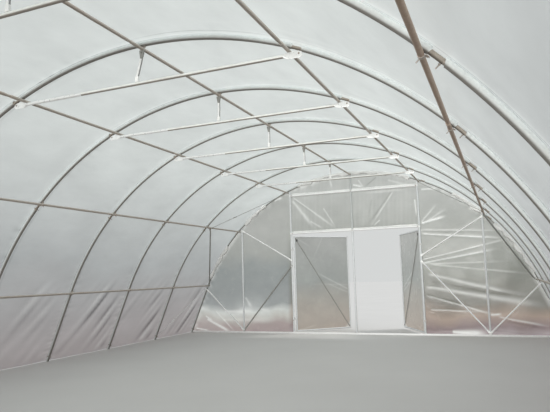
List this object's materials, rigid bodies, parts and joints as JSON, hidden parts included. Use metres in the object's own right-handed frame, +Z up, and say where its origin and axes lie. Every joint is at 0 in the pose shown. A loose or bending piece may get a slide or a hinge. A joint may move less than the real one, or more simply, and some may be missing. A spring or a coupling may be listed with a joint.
{
  "type": "polytunnel greenhouse",
  "caption": "Walk-in film greenhouse on round steel hoops, with purlins, tie bars, braced film gables and a pair of outward opening door leaves.",
  "frame": {"origin": "on the ground under the middle of the far gable's base rail", "axes": "+X to the right seen from inside looking at the far gable, +Y along the tunnel out through the far gable, +Z up"},
  "size_m": [8.0628, 13.3892, 3.4775],
  "materials": {
    "hoop_tube": "dull galvanised round tube",
    "purlin_tube": "dull galvanised tube, browner on its underside",
    "tie_tube": "bright galvanised tube with pressed ends",
    "gable_tube": "galvanised tube",
    "leaf_tube": "galvanised tube",
    "bright_fittings": "bright zinc plated steel",
    "lock_rail": "film lock rail with the film rolled into it",
    "cover_film": "milky stretched film",
    "gable_film": "clear creased film",
    "leaf_film": "clear film on the door leaves"
  },
  "bodies": {
    "tunnel": {"cover_film": "cover_film", "droppers": "bright_fittings", "far_base_rail": "gable_tube", "far_centre_post": "gable_tube", "far_door_hinges": "bright_fittings", "far_door_posts": "gable_tube", "far_end_braces": "gable_tube", "far_gable_braces": "gable_tube", "far_gable_film": "gable_film", "far_headers": "gable_tube", "far_lock_rails": "lock_rail", "far_outer_posts": "gable_tube", "hoop_1": "hoop_tube", "hoop_2": "hoop_tube", "hoop_3": "hoop_tube", "hoop_4": "hoop_tube", "hoop_5": "hoop_tube", "hoop_6": "hoop_tube", "hoop_7": "hoop_tube", "hoop_8": "hoop_tube", "hoop_9": "hoop_tube", "left_low_purlin": "purlin_tube", "left_mid_purlin": "purlin_tube", "left_upper_purlin": "purlin_tube", "near_base_rail": "gable_tube", "near_centre_post": "gable_tube", "near_door_hinges": "bright_fittings", "near_door_posts": "gable_tube", "near_end_braces": "gable_tube", "near_gable_braces": "gable_tube", "near_gable_film": "gable_film", "near_headers": "gable_tube", "near_left_leaf_film": "leaf_film", "near_left_leaf_frame": "leaf_tube", "near_lock_rails": "lock_rail", "near_outer_posts": "gable_tube", "near_right_leaf_film": "leaf_film", "near_right_leaf_frame": "leaf_tube", "purlin_clamps": "bright_fittings", "ridge_purlin": "purlin_tube", "right_low_purlin": "purlin_tube", "right_mid_purlin": "purlin_tube", "right_upper_purlin": "purlin_tube", "tie_bars": "tie_tube"},
    "left_leaf": {"far_left_leaf_frame": "leaf_tube", "far_left_leaf_film": "leaf_film"},
    "right_leaf": {"far_right_leaf_frame": "leaf_tube", "far_right_leaf_film": "leaf_film"}
  },
  "joints": [
    {"name": "left_leaf_hinge", "type": "hinge", "parent": "tunnel", "child": "left_leaf", "pos_m": [-1.397, 0.06, 1.09], "axis": [0, 0, 1], "range_deg": [-43.5, 126.5]},
    {"name": "right_leaf_hinge", "type": "hinge", "parent": "tunnel", "child": "right_leaf", "pos_m": [1.397, 0.06, 1.09], "axis": [0, 0, -1], "range_deg": [-63.3, 106.7]}
  ]
}
